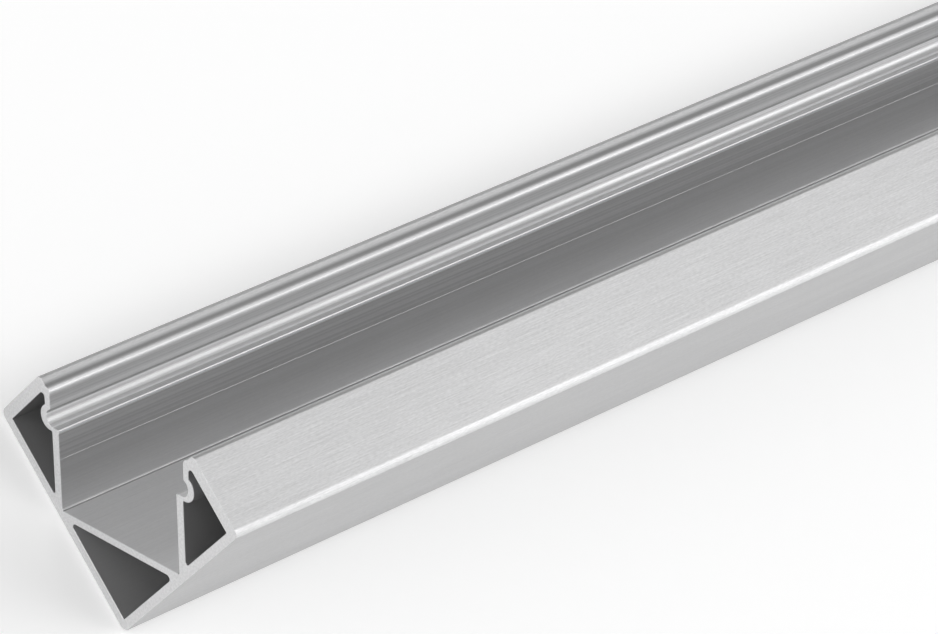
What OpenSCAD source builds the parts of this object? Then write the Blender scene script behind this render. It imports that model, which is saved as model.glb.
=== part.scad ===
// Corner profile for a light strip: one aluminium extrusion, cut square at both ends.
// The section is mirrored about the diagonal through its heel. One leg lies flat, the
// other stands up, and the channel between them opens at 45 degrees.
// In the section, u runs along the flat leg from the heel and v runs up the standing leg.
// Across and depth are the same plane turned 45 degrees: across is measured sideways
// from the diagonal, and depth along it from the heel.

/* [Stock] */
// Length of the piece of stock
stock_len = 1000; // [100:10:3000]
// Outer width of each of the two legs that meet at the heel
leg_w = 20; // [19:0.5:30]

/* [Channel] */
// Clear width of the channel that the strip lies in
channel_w = 14; // [10:0.5:15]
// Metal between a bottom corner of the channel and the outer face of the leg
corner_web = 0.75; // [0.6:0.05:1.2]
// Depth of the cover ledges below the rims of the lips
ledge_drop = 3.05; // [2.6:0.05:3.6]
// Width of each cover ledge, from the channel wall out to the face of the lip
ledge_w = 0.92; // [0.82:0.02:1.1]

/* [Lips] */
// Width of the top of each lip
lip_top_w = 1.55; // [1.4:0.05:1.8]
// Width of the flat land on top of each lip, from the return's outer face
land_w = 0.62; // [0.58:0.02:0.76]
// Height of the rim at the inner edge of each lip above its land
rim_h = 0.14; // [0.05:0.01:0.18]

/* [Snap grooves] */
// Radius of the groove that the cover snaps into
groove_r = 0.76; // [0.66:0.02:0.84]
// How far the groove cuts into the wall behind the face of the lip
undercut = 0.5; // [0.3:0.05:0.6]
// Metal behind the groove at its deepest
snap_wall = 0.7; // [0.5:0.05:0.9]
// Metal under the ledge and the bottom of the groove
ledge_t = 0.36; // [0.3:0.02:0.46]

/* [Walls] */
// Wall of the two legs
leg_wall = 0.85; // [0.6:0.05:1.2]
// Wall of the two returns at the free ends of the legs
return_wall = 1.1; // [0.8:0.05:1.4]
// Wall between the channel and each side chamber
channel_wall = 0.8; // [0.6:0.05:1]
// Thickness of the channel floor
floor_t = 0.65; // [0.5:0.05:1.2]
// Wall of the lip, between its face and the side chamber
lip_wall = 0.63; // [0.5:0.05:0.8]

/* [Rounding] */
// Radius of the heel, where the legs meet outside
heel_r = 0.75; // [0.3:0.05:1.2]
// Radius of the outer edge between a leg and its return
edge_r = 0.65; // [0.3:0.05:1.2]
// Radius of the outer edge of each lip
lip_r = 0.35; // [0.2:0.05:0.55]
// Radius of the rim along the inner edge of each lip
rim_r = 0.6; // [0.4:0.05:0.7]
// Radius of the lower edge of each lip, at the mouth of its groove
mouth_r = 0.1; // [0.05:0.05:0.2]
// Radius of the edge of each cover ledge
ledge_r = 0.15; // [0.1:0.05:0.4]
// Radius in the bottom corners of the channel
floor_r = 0.15; // [0.1:0.05:0.3]
// Radius in the pointed ends of the side chambers
tip_r = 0.2; // [0.1:0.05:0.25]
// Radius at the lip end of the side chambers
lip_end_r = 0.3; // [0.15:0.05:0.35]
// Radius in the two side corners of the heel chamber
heel_side_r = 0.3; // [0.2:0.05:0.6]
// Radius in the square corners of the chambers
chamber_r = 0.12; // [0.06:0.02:0.16]

/* [Hidden] */

// Largest turn of one facet of an arc, in degrees
arc_step = 10;
diagonal = sqrt(2);
half_corner = tan(22.5);

// Half widths of the channel and of the mouth between the lips
channel_half = channel_w / 2;
mouth_half = channel_half + ledge_w;
// Height of the rim, and of the land below it, above the outer face of the leg
rim_v = leg_w - lip_top_w - diagonal * mouth_half;
return_h = rim_v - rim_h;
// Depths of the rims, the ledges and the channel floor
mouth_d = mouth_half + diagonal * rim_v;
ledge_d = mouth_d - ledge_drop;
floor_d = channel_half + diagonal * corner_web;
// Concave sweep that rises from the land and runs over into the rim
sweep_w = lip_top_w - land_w - half_corner * rim_r;
sweep_turn = 2 * atan(rim_h / sweep_w);
sweep_r = sweep_w / sin(sweep_turn) - rim_r;
// Centre of the groove, and of the rounding above its mouth
groove_across = mouth_half + undercut - groove_r;
groove_d = ledge_d + groove_r;
mouth_across = mouth_half + mouth_r;
mouth_rise = sqrt(pow(groove_r + mouth_r, 2) - pow(mouth_across - groove_across, 2));
groove_top = atan2(mouth_rise, mouth_across - groove_across);
// Arc of the side chamber that follows the groove
bulge_r = groove_r + ledge_t;
bulge_across = groove_across + snap_wall - ledge_t;
bulge_top = acos((mouth_half + lip_wall - bulge_across) / bulge_r);

// Point of the section from its distance across the diagonal and its depth
function diag(across, depth) = [(across + depth) / diagonal, (depth - across) / diagonal];

// Points of an arc, with angles in the legs' frame
function arc(centre, r, from, to) =
    let (steps = max(2, ceil(abs(to - from) / arc_step)))
    [for (i = [0 : steps]) centre + r * dir(from + (to - from) * i / steps)];

// The same arc with its centre and its angles in the diagonal frame
function diag_arc(across, depth, r, from, to) = arc(diag(across, depth), r, from - 45, to - 45);

function dir(angle) = [cos(angle), sin(angle)];
function unit(v) = v / norm(v);
function turn(from, to) = let (t = to - from) t > 180 ? t - 360 : (t < -180 ? t + 360 : t);
function angle_of(v) = atan2(v[1], v[0]);

// Arc of radius r that rounds the corner p of a path that comes from a and goes on to b
function corner(a, p, b, r) =
    let (
        to_a = unit(a - p),
        to_b = unit(b - p),
        half = acos(to_a * to_b) / 2,
        centre = p + unit(to_a + to_b) * r / sin(half),
        from = angle_of(p + to_a * r / tan(half) - centre),
        to = angle_of(p + to_b * r / tan(half) - centre)
    )
    arc(centre, r, from, from + turn(from, to));

// A closed path with every corner rounded by its own radius
function rounded(path, radii) =
    let (n = len(path))
    [for (i = [0 : n - 1]) each corner(path[(i + n - 1) % n], path[i], path[(i + 1) % n], radii[i])];

// The path of one side of the section, turned over to the other side and run back
function other_side(path) = [for (i = [len(path) - 1 : -1 : 0]) [path[i][1], path[i][0]]];

// Outer contour of the flat leg's side, from the heel round to the channel floor
side_contour = concat(
    arc([leg_w - edge_r, edge_r], edge_r, -90, 0),
    arc([leg_w - lip_r, return_h - lip_r], lip_r, 0, 90),
    arc([leg_w - land_w, return_h + sweep_r], sweep_r, -90, -90 - sweep_turn),
    arc([rim_v - rim_r + diagonal * (mouth_half + rim_r), rim_v - rim_r], rim_r, 90 - sweep_turn, 135),
    diag_arc(mouth_across, groove_d + mouth_rise, mouth_r, 180, 180 + groove_top),
    diag_arc(groove_across, groove_d, groove_r, groove_top, -90),
    diag_arc(channel_half + ledge_r, ledge_d - ledge_r, ledge_r, 90, 180),
    diag_arc(channel_half - floor_r, floor_d + floor_r, floor_r, 0, -90)
);

module contour() {
    polygon(concat(arc([heel_r, heel_r], heel_r, 180, 270), side_contour, other_side(side_contour)));
}

// Side chamber between the leg, its return, the lip, the snap groove and the channel wall
module side_chamber() {
    wall_across = channel_half + channel_wall;
    lip_across = mouth_half + lip_wall;
    right_u = leg_w - return_wall;
    tip = [leg_wall + diagonal * wall_across, leg_wall];
    outer = [right_u, leg_wall];
    top = [right_u, right_u - diagonal * lip_across];
    bulge = diag_arc(bulge_across, groove_d, bulge_r, bulge_top, -90);
    under = diag(wall_across, ledge_d - ledge_t);
    polygon(concat(
        corner(under, tip, outer, tip_r),
        corner(tip, outer, top, chamber_r),
        corner(outer, top, bulge[0], lip_end_r),
        bulge,
        corner(bulge[len(bulge) - 1], under, tip, chamber_r)
    ));
}

// Three-cornered chamber between the heel and the channel floor
module heel_chamber() {
    reach = diagonal * (floor_d - floor_t) - leg_wall;
    polygon(rounded(
        [[leg_wall, leg_wall], [reach, leg_wall], [leg_wall, reach]],
        [chamber_r, heel_side_r, heel_side_r]
    ));
}

module section() {
    difference() {
        contour();
        heel_chamber();
        side_chamber();
        rotate(90) mirror([0, 1]) side_chamber();
    }
}

module corner_profile() {
    color([0.78, 0.78, 0.79])
    translate([-stock_len / 2, 0, 0])
    rotate([90, 0, 90])
    linear_extrude(stock_len)
    translate([leg_w / 2, 0])
    mirror([1, 0])
    section();
}

corner_profile();
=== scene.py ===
"""Looks of a corner profile for a light strip: one aluminium extrusion, sawn square at both ends.

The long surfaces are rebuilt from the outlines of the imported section, with soft shading, die lines
and broken end edges. Sizes are in metres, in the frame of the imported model: x runs along the stock
and the flat leg lies on z = 0.
"""

import math

import bpy
from mathutils import Matrix, Vector
from mathutils.geometry import tessellate_polygon


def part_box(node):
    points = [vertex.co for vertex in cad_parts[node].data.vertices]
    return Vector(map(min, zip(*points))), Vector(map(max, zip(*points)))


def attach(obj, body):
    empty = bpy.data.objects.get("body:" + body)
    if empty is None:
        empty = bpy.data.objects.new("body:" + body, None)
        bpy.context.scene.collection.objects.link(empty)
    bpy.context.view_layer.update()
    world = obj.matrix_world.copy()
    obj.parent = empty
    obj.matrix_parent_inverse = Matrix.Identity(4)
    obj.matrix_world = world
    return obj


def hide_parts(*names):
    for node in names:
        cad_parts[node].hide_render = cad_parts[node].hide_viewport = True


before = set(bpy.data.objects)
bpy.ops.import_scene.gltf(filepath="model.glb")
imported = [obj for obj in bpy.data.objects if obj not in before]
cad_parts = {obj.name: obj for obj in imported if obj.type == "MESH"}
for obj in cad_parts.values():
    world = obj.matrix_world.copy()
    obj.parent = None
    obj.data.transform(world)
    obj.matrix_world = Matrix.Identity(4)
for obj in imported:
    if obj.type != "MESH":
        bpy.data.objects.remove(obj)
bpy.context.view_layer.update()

MM = 0.001
NODE = "corner_profile"
BODY = "root"
PIECE = "extruded_profile"
UP = Vector((0.0, 0.0, 1.0))
WHITE = (1.0, 1.0, 1.0, 1.0)

# Outer face of the standing leg, which distances along the flat leg are measured from
HEEL_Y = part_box(NODE)[1][1]

# Camera, measured from the middle of the flat leg's outer face at the near end of the stock.
# Its angles are in degrees, and its lens and sensor in millimetres.
CAMERA_FROM_END = Vector((236.25, 64.262, 364.21)) * MM
CAMERA_AZIMUTH = 103.28
CAMERA_ELEVATION = 51.60
CAMERA_ROLL = -49.78
CAMERA_LENS = 215.56
CAMERA_SENSOR = 36.0
CAMERA_CLIP = 0.01

# Broken edge round each sawn end, and how far apart the rings of the long surfaces are
EDGE_BREAK = 0.03 * MM
END_BAND = 0.6 * MM
RING_STEP = 25 * MM

# Extra points that hold the flats flat beside the rounded edges, at two distances on a long flat
SUPPORT = 0.07 * MM
OUTER_SUPPORT = 0.25 * MM
SHORTEST_FLAT = 4 * SUPPORT
LONG_FLAT = 0.8 * MM

# Points nearer than this are one, and edges sharper than this many degrees aren't smoothed
MERGE = 1e-6
SHARP_ANGLE = 30.0
# Least divisor of a corner's inset, so that a sharp corner isn't moved too far
LEAST_MITRE = 0.5

# Die lines on the lower wall of the channel: depth, half width and height of each
CHANNEL_HALF = 7.0 * MM
DIE_LINES = (
    (11.45 * MM, 0.03 * MM, 0.003 * MM),
    (12.55 * MM, 0.03 * MM, 0.016 * MM),
    (13.55 * MM, 0.03 * MM, 0.005 * MM),
    (14.15 * MM, 0.03 * MM, 0.006 * MM),
)
# Flat strip beside a die line, and the share of its height that it has halfway to its middle
DIE_LINE_FOOT = 0.03 * MM
DIE_LINE_SHOULDER = 0.6

# Names of the values that each point of the mesh carries for the shader, and of its UV map
LOOKS = ("drawn", "painted_light_and_shade", "brushed")
UV_MAP = "around"
# Material slots of the mesh
LONG_SURFACES = 0
SAWN_ENDS = 1

# How strongly the drawn lines show. They run the whole length, and grow in the channel between two
# depths, up to 1 at its mouth.
CHANNEL_REACH = 8.5 * MM
DRAWN_FROM = 11.0 * MM
DRAWN_FULL = 14.5 * MM
DRAWN_OUTSIDE = 0.12
DRAWN_CHAMBER = 0.02

# How strongly the short streaks show on the outer faces, in the channel and in the chambers
LIP_OUTSIDE = 19.5 * MM
BRUSHED_OUTSIDE = 1.0
BRUSHED_CHANNEL = 0.3
BRUSHED_CHAMBER = 0.12

# Painted highlights, reflections and shade along the section, as factors on the metal's colour, where
# 1 is plain metal. A depth is measured from the heel along the diagonal, and an across distance from
# the diagonal. A reach and a height are the larger and the smaller of a point's distances from the
# outer faces of the two legs.

# Painted shade on the heel and the outer faces of the legs, and a painted highlight on the rounded
# edges between the legs and their returns. Over the height of an edge the painted highlight grows up
# to
# EDGE_OUTER, falls from EDGE_OUTER_END to EDGE_PEAK and is plain again at EDGE_ZONE.
HEEL_ZONE = 0.55 * MM
HEEL_PAINTED_SHADE = 0.5
LEG_PAINTED_SHADE = 0.905
EDGE_FROM = 18.0 * MM
EDGE_ZONE = 0.6 * MM
EDGE_PEAK = 0.38 * MM
EDGE_PEAK_PAINTED_SHADE = 0.88
EDGE_OUTER_END = 0.25 * MM
EDGE_OUTER = 0.11 * MM
EDGE_OUTER_START = 0.01 * MM
EDGE_OUTER_PAINTED_LIGHT = 1.45

# Painted light and shade in the channel: lighter on its floor, a painted shade line below a painted
# highlight at its corners, and its walls, which are painted darker up to WALL_CALM and carry a painted
# highlight at the shoulder, the rounded edge of the ledge
STRIP_SEAT_PAINTED_LIGHT = 1.13
CORNER_DEPTH = 8.11 * MM
CORNER_TOP = 8.25 * MM
CORNER_INNER = 6.80 * MM
CORNER_OUTER = 6.96 * MM
CORNER_PAINTED_SHADE = 0.55
CORNER_PAINTED_LIGHT = 1.5
WALL_FOOT_PAINTED_LIGHT = 1.05
WALL_CALM = 11.4 * MM
WALL_PAINTED_SHADE = 0.91
SHOULDER_FROM = 14.72 * MM
SHOULDER_FULL = 14.88 * MM
SHOULDER_TO = 14.99 * MM
SHOULDER_PAINTED_LIGHT = 1.8

# Painted light and shade on the ledge and in the groove, whose painted light grows from its bottom up,
# and painted shade at the mouth of the groove
LEDGE_TO = 15.30 * MM
LEDGE_INNER = 7.1 * MM
LEDGE_OUTER = 7.6 * MM
LEDGE_EDGE_PAINTED_LIGHT = 1.28
LEDGE_SEAT_PAINTED_SHADE = 0.98
LEDGE_PAINTED_LIGHT = 1.12
HOLLOW_FROM = 15.38 * MM
HOLLOW_PAINTED_SHADE = 0.85
GROOVE_FROM = 15.80 * MM
GROOVE_PAINTED_LIGHT = 1.4
SHADE_FROM = 16.15 * MM
SHADE_TO = 16.62 * MM
SHADE_LIGHT = 0.72

# Painted light and shade on the face, rim, sweep, land and outer edge of the lip. The rim's places are
# measured from the lip's face.
LIP_FACE = 7.92 * MM
LIP_PAINTED_LIGHT = 1.33
RIM_FULL = 0.03 * MM
RIM_PEAK = 0.08 * MM
RIM_END = 0.2 * MM
RIM_PAINTED_SHADE = 0.86
SWEEP_MIDDLE = 18.93 * MM
SWEEP_HALF = 0.34 * MM
SWEEP_PAINTED_SHADE = 0.74
LAND_PAINTED_LIGHT = 1.10
LIP_TOP_HEIGHT = 7.06 * MM
LIP_EDGE_HEIGHT = 0.25 * MM
LIP_EDGE_PAINTED_SHADE = 0.87

# Painted shade in the chambers, none in the heel chamber and darker in the side chambers
HEEL_CHAMBER_PAINTED_SHADE = 1.0
SIDE_CHAMBER_PAINTED_SHADE = 0.8

# Finish of the long surfaces
METAL_COLOUR = (0.57, 0.57, 0.574)
METAL_TINT = 0.5
METALLIC = 0.65
METAL_ROUGHNESS = 0.38
METAL_ROUGHNESS_SWING = 0.03
STREAK_ANISOTROPY = 0.5
DRAWN_CONTRAST = 1.1
SHORT_CONTRAST = 0.32
GRAIN_CONTRAST = 0.32
LINE_RELIEF = 0.004 * MM
LINE_RELIEF_STRENGTH = 1.0

# Finish of the sawn ends
SAWN_COLOUR = (0.72, 0.72, 0.724)
SAWN_TINT = 0.09
SAWN_ROUGHNESS = 0.55
SAWN_ROUGHNESS_SWING = 0.05
SAWN_RELIEF = 0.01 * MM
SAWN_RELIEF_STRENGTH = 0.5

# Noises: how many per metre along, across and up, their detail and their shift
LONG_LINES = ((4.0, 3800.0, 3800.0), 3.0, 5.0)
SHORT_LINES = ((220.0, 9500.0, 9500.0), 1.0, 0.0)
GRAIN = ((2400.0, 9500.0, 9500.0), 1.0, 11.0)
PATCHES = ((40.0, 300.0, 300.0), 2.0, 3.0)
SPECKLE = ((5000.0, 5000.0, 5000.0), 2.0, 0.0)
# Middle and usual range of a noise
NOISE_MIDDLE = 0.5
NOISE_LOW = 0.3
NOISE_HIGH = 0.7

# Floor, and the share of white that it shows by itself
FLOOR_HALF = 30.0
FLOOR_COLOUR = (0.82, 0.82, 0.82, 1.0)
FLOOR_WHITENING = 0.32

# Even light of the sky, and its soft glows: direction, tightness and strength of each
AMBIENT = 0.24
SKY_GLOWS = (
    (Vector((0.85, -0.18, 0.495)), 6.0, 2.1),
    (Vector((-0.604, 0.797, 0.0)), 5.0, 0.74),
    (Vector((-0.604, 0.0, 0.797)), 20.0, 0.66),
    (Vector((-0.604, -0.770, 0.206)), 20.0, 0.2),
)

# Soft box: the place on the stock that it faces, and its direction and distance from there
LIT_PLACE = Vector((0.4, 0.0, 0.01))
SOFT_BOX_DIRECTION = Vector((-0.604, 0.337, 0.722))
SOFT_BOX_DISTANCE = 2.0
SOFT_BOX_SIDE = 1.4
SOFT_BOX_BRIGHTNESS = 2.55


def end_steps(mesh):
    """Steps from point to point along the outlines at the near end, each point given as (y, z)."""
    near = max(v.co.x for v in mesh.vertices)
    places = {}

    def place(index):
        """The point of a vertex, which is the same for vertices that lie together."""
        co = mesh.vertices[index].co
        return places.setdefault((round(co.y / MERGE), round(co.z / MERGE)), (co.y, co.z))

    steps = {}
    for face in mesh.polygons:
        ring = list(face.vertices)
        at_end = [abs(mesh.vertices[i].co.x - near) < MERGE for i in ring]
        if all(at_end):
            continue
        for i, index in enumerate(ring):
            following = (i + 1) % len(ring)
            if at_end[i] and at_end[following]:
                steps[place(index)] = place(ring[following])
    return steps


def section_loops(mesh):
    """The closed outlines of the section, as lists of (y, z), the outer one first."""
    steps = end_steps(mesh)
    loops = []
    while steps:
        start, point = steps.popitem()
        loop = [start]
        while point != start:
            loop.append(point)
            point = steps.pop(point)
        loops.append([Vector(p) for p in loop])
    return sorted(loops, key=lambda loop: -abs(area(loop)))


def area(loop):
    """Signed area of a closed outline."""
    return sum(a.x * b.y - b.x * a.y for a, b in zip(loop, loop[1:] + loop[:1])) / 2


def turned(loop, sign):
    """The outline, running so that its area has this sign."""
    return loop if area(loop) * sign > 0 else loop[::-1]


def depth_of(point):
    """Distance of a point of the section from the heel, along the diagonal."""
    return ((HEEL_Y - point.x) + point.y) / math.sqrt(2)


def side_of(point):
    """Distance of a point of the section from the diagonal, above 0 on the flat leg's side."""
    return ((HEEL_Y - point.x) - point.y) / math.sqrt(2)


def across_of(point):
    """Distance of a point of the section from the diagonal, on either side."""
    return abs(side_of(point))


def reach_of(point):
    """The larger of a point's distances from the outer faces of the two legs."""
    return max(HEEL_Y - point.x, point.y)


def height_of(point):
    """The smaller of a point's distances from the outer faces of the two legs."""
    return min(HEEL_Y - point.x, point.y)


def die_line_rises(half_width):
    """Places across one die line, each with the share of its height there."""
    foot = half_width + DIE_LINE_FOOT
    half = ((-foot, 0.0), (-half_width, 0.0), (-half_width / 2, DIE_LINE_SHOULDER), (0.0, 1.0))
    return half + tuple((-place, rise) for place, rise in half[:-1])


def die_line_points(a, b):
    """Points of the die lines on the straight from a to b, if it is the channel's lower wall."""
    if abs(side_of((a + b) / 2) - CHANNEL_HALF) > 2 * MERGE:
        return []
    along = b - a
    length = along.length
    outward = Vector((along.y, -along.x)) / length
    points = []
    for depth, half_width, height in DIE_LINES:
        at = depth - depth_of(a)
        if depth_of(b) < depth_of(a):
            at = -at
        if not 2 * DIE_LINE_FOOT < at < length - 2 * DIE_LINE_FOOT:
            continue
        for sideways, rise in die_line_rises(half_width):
            reach = at + sideways
            points.append((reach, a + along * (reach / length) + outward * (rise * height)))
    return [p for _, p in sorted(points, key=lambda item: item[0])]


def eased(value, start, end):
    """0 at the start, 1 at the end and a soft change between them."""
    share = min(1.0, max(0.0, (value - start) / (end - start)))
    return share * share * (3.0 - 2.0 * share)


def blended(first, second, share):
    """A value between the first and the second."""
    return first + (second - first) * share


def drawn(point):
    """How strongly the drawn lines show at a point of the outer outline."""
    if across_of(point) > CHANNEL_REACH:
        return DRAWN_OUTSIDE
    return blended(DRAWN_OUTSIDE, 1.0, eased(depth_of(point), DRAWN_FROM, DRAWN_FULL))


def brushed(point):
    """How strongly the short streaks show at a point of the outer outline."""
    outside = reach_of(point) > LIP_OUTSIDE or height_of(point) < MERGE
    return BRUSHED_OUTSIDE if outside else BRUSHED_CHANNEL


def painted_light_and_shade(point):
    """Painted highlights and shade at a point of the outer outline: how much lighter or darker the
    metal's colour is drawn there.
    """
    across, depth = across_of(point), depth_of(point)
    reach, height = reach_of(point), height_of(point)
    if height < EDGE_ZONE:
        return leg_painted_light(depth, reach, height)
    if reach > LIP_OUTSIDE and height < LIP_TOP_HEIGHT:
        return LIP_EDGE_PAINTED_SHADE if height > LIP_TOP_HEIGHT - LIP_EDGE_HEIGHT else 1.0
    if height > LIP_TOP_HEIGHT and depth > SHADE_TO:
        return lip_top_painted_light(across, reach)
    return channel_painted_light(across, depth)


def chamber_painted_shade(point):
    """Painted shade at a point of a chamber's outline."""
    return HEEL_CHAMBER_PAINTED_SHADE if depth_of(point) < CORNER_DEPTH else SIDE_CHAMBER_PAINTED_SHADE


def leg_painted_light(depth, reach, height):
    """Painted shade on the heel and the outer face of a leg, and a painted highlight on its rounded
    edges.
    """
    if depth < HEEL_ZONE:
        return HEEL_PAINTED_SHADE
    if reach < EDGE_FROM:
        return LEG_PAINTED_SHADE
    outer = blended(LEG_PAINTED_SHADE, EDGE_OUTER_PAINTED_LIGHT, eased(height, EDGE_OUTER_START, EDGE_OUTER))
    peak = blended(outer, EDGE_PEAK_PAINTED_SHADE, eased(height, EDGE_OUTER_END, EDGE_PEAK))
    return blended(peak, 1.0, eased(height, EDGE_PEAK, EDGE_ZONE))


def lip_top_painted_light(across, reach):
    """Painted light and shade on the land of a lip, on the sweep beside it and on the rim."""
    sweep = 1.0 - eased(abs(reach - SWEEP_MIDDLE), 0.0, SWEEP_HALF)
    land = eased(reach, SWEEP_MIDDLE + SWEEP_HALF, SWEEP_MIDDLE + 2 * SWEEP_HALF)
    rim = blended(RIM_PAINTED_SHADE, LIP_PAINTED_LIGHT, eased(across, LIP_FACE + RIM_PEAK, LIP_FACE + RIM_FULL))
    rim = blended(rim, 1.0, eased(across, LIP_FACE + RIM_PEAK, LIP_FACE + RIM_END))
    return rim * blended(1.0, SWEEP_PAINTED_SHADE, sweep) * blended(1.0, LAND_PAINTED_LIGHT, land)


def channel_painted_light(across, depth):
    """Painted light and shade in the channel, from its floor up to the face of the lip."""
    if depth < CORNER_DEPTH:
        return CORNER_PAINTED_SHADE if CORNER_INNER < across < CORNER_OUTER else STRIP_SEAT_PAINTED_LIGHT
    if depth < CORNER_TOP:
        return CORNER_PAINTED_LIGHT
    if depth < SHOULDER_TO:
        wall = blended(WALL_FOOT_PAINTED_LIGHT, WALL_PAINTED_SHADE, eased(depth, CORNER_TOP, WALL_CALM))
        return blended(wall, SHOULDER_PAINTED_LIGHT, eased(depth, SHOULDER_FROM, SHOULDER_FULL))
    if depth < LEDGE_TO and across < LEDGE_OUTER:
        return LEDGE_EDGE_PAINTED_LIGHT if across < LEDGE_INNER else LEDGE_SEAT_PAINTED_SHADE
    if depth < LEDGE_TO:
        return LEDGE_PAINTED_LIGHT
    if depth < SHADE_FROM:
        return blended(HOLLOW_PAINTED_SHADE, GROOVE_PAINTED_LIGHT, eased(depth, HOLLOW_FROM, GROOVE_FROM))
    return SHADE_LIGHT if depth < SHADE_TO else LIP_PAINTED_LIGHT


def looks_at(point, outer):
    """The values that LOOKS names, at a point of the outer outline or of a chamber's."""
    if outer:
        return drawn(point), painted_light_and_shade(point), brushed(point)
    return DRAWN_CHAMBER, chamber_painted_shade(point), BRUSHED_CHAMBER


def refined(loop):
    """The outline with support points beside its corners and the die lines on the channel wall."""
    points = []
    for a, b in zip(loop, loop[1:] + loop[:1]):
        points.append(a)
        length = (b - a).length
        if length < SHORTEST_FLAT:
            continue
        wide = length > LONG_FLAT
        points.append(a.lerp(b, SUPPORT / length))
        if wide:
            points.append(a.lerp(b, OUTER_SUPPORT / length))
        points.extend(die_line_points(a, b) or [(a + b) / 2])
        if wide:
            points.append(b.lerp(a, OUTER_SUPPORT / length))
        points.append(b.lerp(a, SUPPORT / length))
    return points


def inset(loop, distance):
    """The outline moved sideways into the metal, which lies on its left."""
    moved = []
    for before, point, after in zip(loop[-1:] + loop[:-1], loop, loop[1:] + loop[:1]):
        first = (point - before).normalized()
        second = (after - point).normalized()
        left = Vector((-first.y - second.y, first.x + second.x)).normalized()
        mitre = max(LEAST_MITRE, left.dot(Vector((-first.y, first.x))))
        moved.append(point + left * (distance / mitre))
    return moved


def ring_places(low, high):
    """Where the rings of the long surfaces lie along the stock, each with its inset into the metal."""
    inner = high - low - 2 * END_BAND
    steps = max(1, round(inner / RING_STEP))
    middle = [(low + END_BAND + inner * i / steps, 0.0) for i in range(steps + 1)]
    low_end = [(low, EDGE_BREAK), (low + EDGE_BREAK, 0.0)]
    high_end = [(high - EDGE_BREAK, 0.0), (high, EDGE_BREAK)]
    return low_end + middle + high_end


def add_rings(shell, loop, outer, rings):
    """Adds an outline's points at every ring. Gives each ring's first vertex and its outline."""
    looks = [looks_at(point, outer) for point in loop]
    placed = []
    for x, sideways in rings:
        ring = inset(loop, sideways) if sideways else loop
        placed.append((len(shell["vertices"]), ring))
        shell["vertices"].extend((x, p.x, p.y) for p in ring)
        shell["looks"].extend(looks)
    return placed


def add_long_faces(shell, loop, rings, placed):
    """Adds the faces between the rings of one outline."""
    around = [0.0]
    for a, b in zip(loop, loop[1:] + loop[:1]):
        around.append(around[-1] + (b - a).length)
    for k in range(len(rings) - 1):
        first, second = placed[k][0], placed[k + 1][0]
        x0, x1 = rings[k][0], rings[k + 1][0]
        for i in range(len(loop)):
            j = (i + 1) % len(loop)
            start, end = around[i], around[i + 1]
            shell["faces"].append((first + i, second + i, second + j, first + j))
            shell["uvs"].extend([(start, x0), (start, x1), (end, x1), (end, x0)])
            shell["slots"].append(LONG_SURFACES)


def add_sawn_end(shell, placed, along_x):
    """Fills the section between the outlines at one end, with faces that look along +X or -X."""
    owners = [start + i for start, ring in placed for i in range(len(ring))]
    outlines = [[Vector((p.x, p.y, 0.0)) for p in ring] for _, ring in placed]
    flat = [p for outline in outlines for p in outline]
    for corners in tessellate_polygon(outlines):
        a, b, c = (flat[i] for i in corners)
        facing = (b - a).cross(c - a).z > 0
        order = corners if facing == along_x else corners[::-1]
        shell["faces"].append(tuple(owners[i] for i in order))
        shell["uvs"].extend((flat[i].x, flat[i].y) for i in order)
        shell["slots"].append(SAWN_ENDS)


def mesh_object(shell):
    """The shell's lists as a smooth mesh object, with its UV map and its values for the shader."""
    mesh = bpy.data.meshes.new(PIECE)
    mesh.from_pydata(shell["vertices"], [], shell["faces"])
    layer = mesh.uv_layers.new(name=UV_MAP)
    for item, uv in zip(layer.data, shell["uvs"]):
        item.uv = uv
    for face, slot in zip(mesh.polygons, shell["slots"]):
        face.material_index = slot
        face.use_smooth = True
    for index, name in enumerate(LOOKS):
        attribute = mesh.attributes.new(name, "FLOAT", "POINT")
        attribute.data.foreach_set("value", [looks[index] for looks in shell["looks"]])
    mesh.set_sharp_from_angle(angle=math.radians(SHARP_ANGLE))
    mesh.validate()
    piece = bpy.data.objects.new(PIECE, mesh)
    bpy.context.scene.collection.objects.link(piece)
    return piece


def build_profile(loops, low, high):
    """The whole extrusion as one mesh object: long surfaces, broken end edges and sawn ends."""
    shell = {"vertices": [], "looks": [], "faces": [], "uvs": [], "slots": []}
    rings = ring_places(low, high)
    placed = []
    for index, loop in enumerate(loops):
        placed.append(add_rings(shell, loop, index == 0, rings))
        add_long_faces(shell, loop, rings, placed[index])
    add_sawn_end(shell, [rings_of_loop[0] for rings_of_loop in placed], False)
    add_sawn_end(shell, [rings_of_loop[-1] for rings_of_loop in placed], True)
    return mesh_object(shell)


def new_material(name):
    """An empty node material, with its tree and a Principled shader."""
    material = bpy.data.materials.new(name)
    material.use_nodes = True
    tree = material.node_tree
    return material, tree, tree.nodes["Principled BSDF"]


def calculated(tree, operation, first, second):
    """The result of a sum on a value, with a number or another value."""
    node = tree.nodes.new("ShaderNodeMath")
    node.operation = operation
    tree.links.new(first, node.inputs[0])
    if isinstance(second, float):
        node.inputs[1].default_value = second
    else:
        tree.links.new(second, node.inputs[1])
    return node.outputs[0]


def stretched_noise(tree, scale, detail, shift):
    """Noise in the object's own space, with its own scale on each axis."""
    coords = tree.nodes.new("ShaderNodeTexCoord")
    mapping = tree.nodes.new("ShaderNodeMapping")
    mapping.inputs["Scale"].default_value = scale
    mapping.inputs["Location"].default_value = (shift, shift, shift)
    noise = tree.nodes.new("ShaderNodeTexNoise")
    noise.inputs["Scale"].default_value = 1.0
    noise.inputs["Detail"].default_value = detail
    tree.links.new(coords.outputs["Object"], mapping.inputs["Vector"])
    tree.links.new(mapping.outputs["Vector"], noise.inputs["Vector"])
    return noise.outputs["Fac"]


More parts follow.
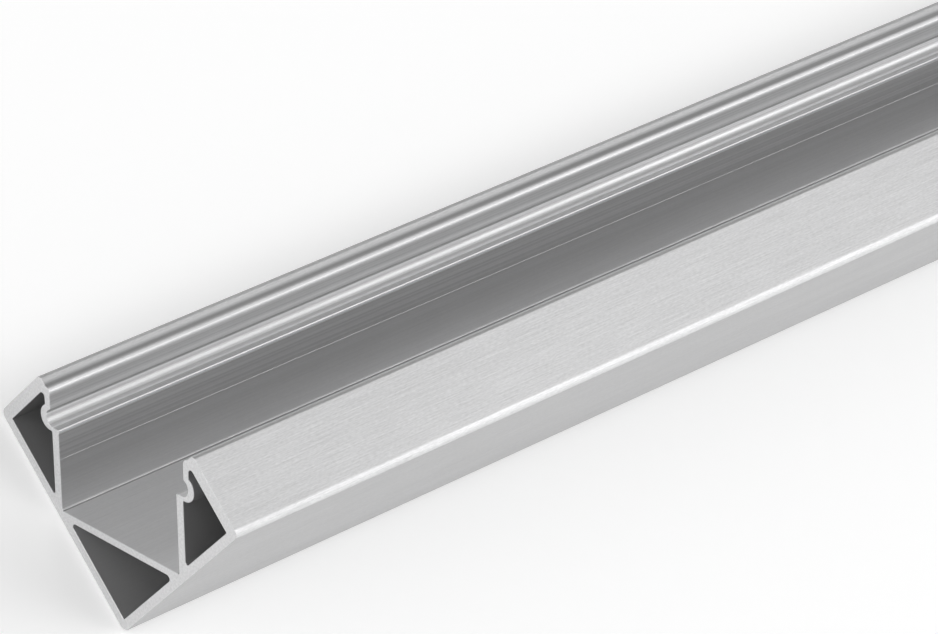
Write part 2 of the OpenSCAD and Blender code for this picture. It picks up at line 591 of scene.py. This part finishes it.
def ranged(tree, value, low, high):
    """The value, stretched from the usual range of a noise to low and high."""
    node = tree.nodes.new("ShaderNodeMapRange")
    node.inputs["From Min"].default_value = NOISE_LOW
    node.inputs["From Max"].default_value = NOISE_HIGH
    node.inputs["To Min"].default_value = low
    node.inputs["To Max"].default_value = high
    tree.links.new(value, node.inputs["Value"])
    return node.outputs["Result"]


def tinted(tree, value, colour, change):
    """The colour, a little darker or lighter with the value."""
    node = tree.nodes.new("ShaderNodeMix")
    node.data_type = "RGBA"
    # A Mix node's colours are its inputs 6 and 7 and its output 2
    node.inputs[6].default_value = (*(c * (1 - change) for c in colour), 1.0)
    node.inputs[7].default_value = (*(c * (1 + change) for c in colour), 1.0)
    tree.links.new(value, node.inputs[0])
    return node.outputs[2]


def bumped(tree, value, distance, strength):
    """A bump normal from the value."""
    node = tree.nodes.new("ShaderNodeBump")
    node.inputs["Distance"].default_value = distance
    node.inputs["Strength"].default_value = strength
    tree.links.new(value, node.inputs["Height"])
    return node.outputs["Normal"]


def swing(tree, noise, strength):
    """The noise about zero, times a strength that is a number or another value."""
    about_zero = calculated(tree, "SUBTRACT", noise, NOISE_MIDDLE)
    return calculated(tree, "MULTIPLY", about_zero, strength)


def attribute_value(tree, name):
    """The value of a mesh attribute."""
    node = tree.nodes.new("ShaderNodeAttribute")
    node.attribute_name = name
    return node.outputs["Fac"]


def scaled(tree, colour, value):
    """The colour times the value."""
    node = tree.nodes.new("ShaderNodeVectorMath")
    node.operation = "SCALE"
    tree.links.new(colour, node.inputs[0])
    tree.links.new(value, node.inputs["Scale"])
    return node.outputs[0]


def extruded_metal():
    """Satin anodised aluminium with fine lines along the stock, its colour carrying painted highlights
    and shade along the section.
    """
    material, tree, shader = new_material("satin_extruded_aluminium")
    drawn_lines = calculated(tree, "MULTIPLY", attribute_value(tree, "drawn"), DRAWN_CONTRAST)
    long_lines = swing(tree, stretched_noise(tree, *LONG_LINES), drawn_lines)
    short_lines = swing(tree, stretched_noise(tree, *SHORT_LINES), SHORT_CONTRAST)
    grain = swing(tree, stretched_noise(tree, *GRAIN), GRAIN_CONTRAST)
    streaks = calculated(tree, "ADD", short_lines, grain)
    streaks = calculated(tree, "MULTIPLY", streaks, attribute_value(tree, "brushed"))
    lines = calculated(tree, "ADD", long_lines, streaks)
    lines = calculated(tree, "ADD", lines, NOISE_MIDDLE)
    colour = tinted(tree, lines, METAL_COLOUR, METAL_TINT)
    # The metal's colour times the painted highlights and shade along the section
    colour = scaled(tree, colour, attribute_value(tree, "painted_light_and_shade"))
    tree.links.new(colour, shader.inputs["Base Color"])
    low, high = METAL_ROUGHNESS - METAL_ROUGHNESS_SWING, METAL_ROUGHNESS + METAL_ROUGHNESS_SWING
    roughness = ranged(tree, stretched_noise(tree, *PATCHES), low, high)
    tree.links.new(roughness, shader.inputs["Roughness"])
    shader.inputs["Metallic"].default_value = METALLIC
    shader.inputs["Anisotropic"].default_value = STREAK_ANISOTROPY
    tangent = tree.nodes.new("ShaderNodeTangent")
    tangent.direction_type = "UV_MAP"
    tangent.uv_map = UV_MAP
    tree.links.new(tangent.outputs["Tangent"], shader.inputs["Tangent"])
    relief = bumped(tree, lines, LINE_RELIEF, LINE_RELIEF_STRENGTH)
    tree.links.new(relief, shader.inputs["Normal"])
    return material


def sawn_metal():
    """Bare sawn end: speckled and a little rougher, with a fine speckled relief."""
    material, tree, shader = new_material("sawn_aluminium")
    speckle = stretched_noise(tree, *SPECKLE)
    colour = tinted(tree, ranged(tree, speckle, 0.0, 1.0), SAWN_COLOUR, SAWN_TINT)
    tree.links.new(colour, shader.inputs["Base Color"])
    low, high = SAWN_ROUGHNESS - SAWN_ROUGHNESS_SWING, SAWN_ROUGHNESS + SAWN_ROUGHNESS_SWING
    tree.links.new(ranged(tree, speckle, low, high), shader.inputs["Roughness"])
    shader.inputs["Metallic"].default_value = METALLIC
    relief = bumped(tree, speckle, SAWN_RELIEF, SAWN_RELIEF_STRENGTH)
    tree.links.new(relief, shader.inputs["Normal"])
    return material


def seen_rays(tree):
    """1 for rays from the camera, a mirror or glass, and 0 for the rest."""
    rays = tree.nodes.new("ShaderNodeLightPath")
    seen = rays.outputs["Is Camera Ray"]
    seen = calculated(tree, "MAXIMUM", seen, rays.outputs["Is Glossy Ray"])
    return calculated(tree, "MAXIMUM", seen, rays.outputs["Is Transmission Ray"])


def add_floor():
    """A wide pale floor that keeps the shadow and looks white to the camera and in the metal."""
    bpy.ops.mesh.primitive_plane_add(size=2 * FLOOR_HALF, location=(0.0, 0.0, 0.0))
    floor = bpy.context.object
    floor.name = "floor"
    material, tree, shader = new_material("white_floor")
    shader.inputs["Base Color"].default_value = FLOOR_COLOUR
    shader.inputs["Roughness"].default_value = 1.0
    shader.inputs["Specular IOR Level"].default_value = 0.0
    shader.inputs["Emission Color"].default_value = WHITE
    whitening = calculated(tree, "MULTIPLY", seen_rays(tree), FLOOR_WHITENING)
    tree.links.new(whitening, shader.inputs["Emission Strength"])
    floor.data.materials.append(material)


def add_sky():
    """The studio's even light, with a soft glow towards the near end and three towards the far end."""
    world = bpy.data.worlds.new("studio")
    world.use_nodes = True
    tree = world.node_tree
    background = tree.nodes["Background"]
    background.inputs["Color"].default_value = WHITE
    coords = tree.nodes.new("ShaderNodeTexCoord")
    total = tree.nodes.new("ShaderNodeValue").outputs[0]
    total.default_value = AMBIENT
    for direction, tightness, strength in SKY_GLOWS:
        facing = tree.nodes.new("ShaderNodeVectorMath")
        facing.operation = "DOT_PRODUCT"
        facing.inputs[1].default_value = direction.normalized()
        tree.links.new(coords.outputs["Generated"], facing.inputs[0])
        glow = calculated(tree, "MAXIMUM", facing.outputs["Value"], 0.0)
        glow = calculated(tree, "POWER", glow, tightness)
        glow = calculated(tree, "MULTIPLY", glow, strength)
        total = calculated(tree, "ADD", total, glow)
    tree.links.new(total, background.inputs["Strength"])
    bpy.context.scene.world = world


def add_soft_box():
    """A square area lamp over the far end, which faces the near part of the stock."""
    data = bpy.data.lights.new("soft_box", "AREA")
    data.shape = "SQUARE"
    data.size = SOFT_BOX_SIDE
    data.energy = SOFT_BOX_BRIGHTNESS * math.pi * SOFT_BOX_SIDE * SOFT_BOX_SIDE
    lamp = bpy.data.objects.new("soft_box", data)
    towards = SOFT_BOX_DIRECTION.normalized()
    lamp.location = LIT_PLACE + towards * SOFT_BOX_DISTANCE
    lamp.rotation_euler = towards.to_track_quat("Z", "Y").to_euler()
    lamp.visible_camera = False
    bpy.context.scene.collection.objects.link(lamp)


def add_camera(near_end):
    """The camera at the photograph's viewing angle, rolled as it was held."""
    data = bpy.data.cameras.new("camera")
    data.lens = CAMERA_LENS
    data.sensor_width = CAMERA_SENSOR
    data.clip_start = CAMERA_CLIP
    azimuth = math.radians(CAMERA_AZIMUTH)
    elevation = math.radians(CAMERA_ELEVATION)
    level = math.cos(elevation)
    forward = Vector((-math.sin(azimuth) * level, math.cos(azimuth) * level, -math.sin(elevation)))
    roll = Matrix.Rotation(math.radians(CAMERA_ROLL), 3, forward)
    right = roll @ forward.cross(UP).normalized()
    up = right.cross(forward)
    turn = Matrix((right, up, -forward)).transposed().to_4x4()
    camera = bpy.data.objects.new("camera", data)
    camera.matrix_world = Matrix.Translation(near_end + CAMERA_FROM_END) @ turn
    bpy.context.scene.collection.objects.link(camera)
    bpy.context.scene.camera = camera


low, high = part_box(NODE)
add_camera(Vector((high[0], 0.0, 0.0)))

outlines = section_loops(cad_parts[NODE].data)
outlines = [turned(outlines[0], 1)] + [turned(loop, -1) for loop in outlines[1:]]
profile = build_profile([refined(loop) for loop in outlines], low[0], high[0])
profile.data.materials.append(extruded_metal())
profile.data.materials.append(sawn_metal())
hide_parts(NODE)
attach(profile, BODY)

add_floor()
add_sky()
add_soft_box()
bpy.context.scene.view_settings.view_transform = "Standard"
